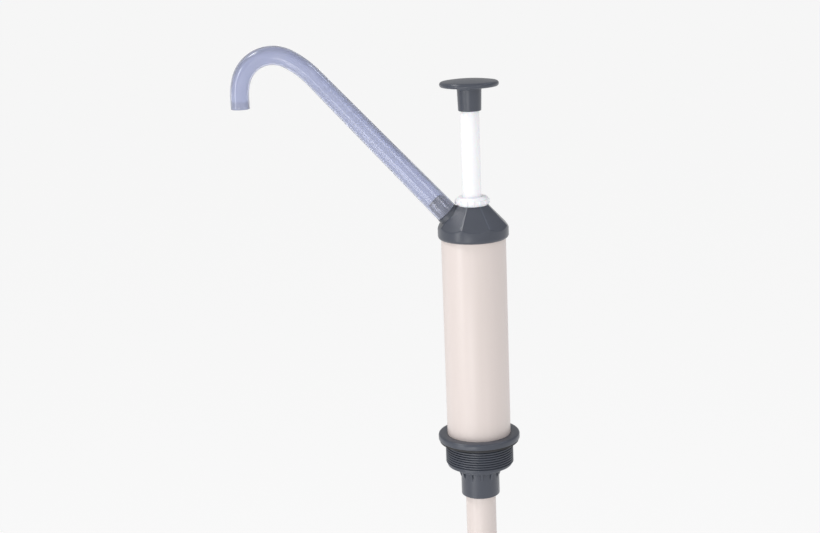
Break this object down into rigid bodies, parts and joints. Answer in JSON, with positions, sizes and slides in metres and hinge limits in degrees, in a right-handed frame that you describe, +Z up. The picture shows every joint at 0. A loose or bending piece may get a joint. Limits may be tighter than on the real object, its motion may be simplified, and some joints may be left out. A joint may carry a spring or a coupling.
{
  "type": "drum barrel pump",
  "caption": "Hand pump for a drum: ribbed gland and push knob over a plastic barrel on a threaded bung adapter, with a hooked spout and a dip tube",
  "frame": {"origin": "centre of the bung seat: the underside of the adapter's gasket, on the pump's axis", "axes": "+Z up along the pump's axis to the knob, -X towards the spout's mouth, and the bung thread points down -Z"},
  "size_m": [0.2369, 0.072, 1.1965],
  "materials": {
    "grey_polypropylene": "satin moulded",
    "cream_pvc": "smooth extruded",
    "white_acetal": "smooth",
    "clear_ldpe": "milky translucent",
    "black_nitrile": "matte",
    "stainless_steel": "polished"
  },
  "bodies": {
    "adapter": {"bung_adapter": "grey_polypropylene", "bung_gasket": "black_nitrile"},
    "pump": {"barrel": "cream_pvc", "pump_head": "grey_polypropylene", "outlet_nipple": "stainless_steel", "head_gasket": "black_nitrile", "gland_nut": "white_acetal", "gland_washer": "white_acetal", "rod_seal": "black_nitrile", "foot_valve_body": "grey_polypropylene", "ball_cage": "white_acetal", "spigot_o_ring": "black_nitrile", "retaining_ring": "stainless_steel", "suction_tube": "cream_pvc", "suction_strainer": "grey_polypropylene"},
    "spout": {"spout": "clear_ldpe"},
    "plunger": {"plunger_rod": "white_acetal", "knob": "grey_polypropylene", "piston_body": "white_acetal", "piston_cup": "black_nitrile", "piston_washer": "white_acetal", "piston_nut": "white_acetal", "valve_stop_washer": "white_acetal"},
    "piston_valve": {"piston_valve_disc": "black_nitrile"},
    "suction_ball": {"suction_ball": "stainless_steel"}
  },
  "joints": [
    {"name": "pump_swivel", "type": "hinge", "parent": "adapter", "child": "pump", "pos_m": [0, 0, 0], "axis": [0, 0, 1], "continuous": true},
    {"name": "spout_swivel", "type": "hinge", "parent": "pump", "child": "spout", "pos_m": [-0.01972, 0, 0.2039], "axis": [-0.6691, 0, 0.7431], "continuous": true},
    {"name": "plunger_slide", "type": "slide", "parent": "pump", "child": "plunger", "axis": [0, 0, 1], "range_m": [-0.07, 0.06]},
    {"name": "piston_valve_lift", "type": "slide", "parent": "plunger", "child": "piston_valve", "axis": [0, 0, 1], "range_m": [0, 0.0035]},
    {"name": "suction_valve_lift", "type": "slide", "parent": "pump", "child": "suction_ball", "axis": [0, 0, 1], "range_m": [0, 0.006]}
  ]
}
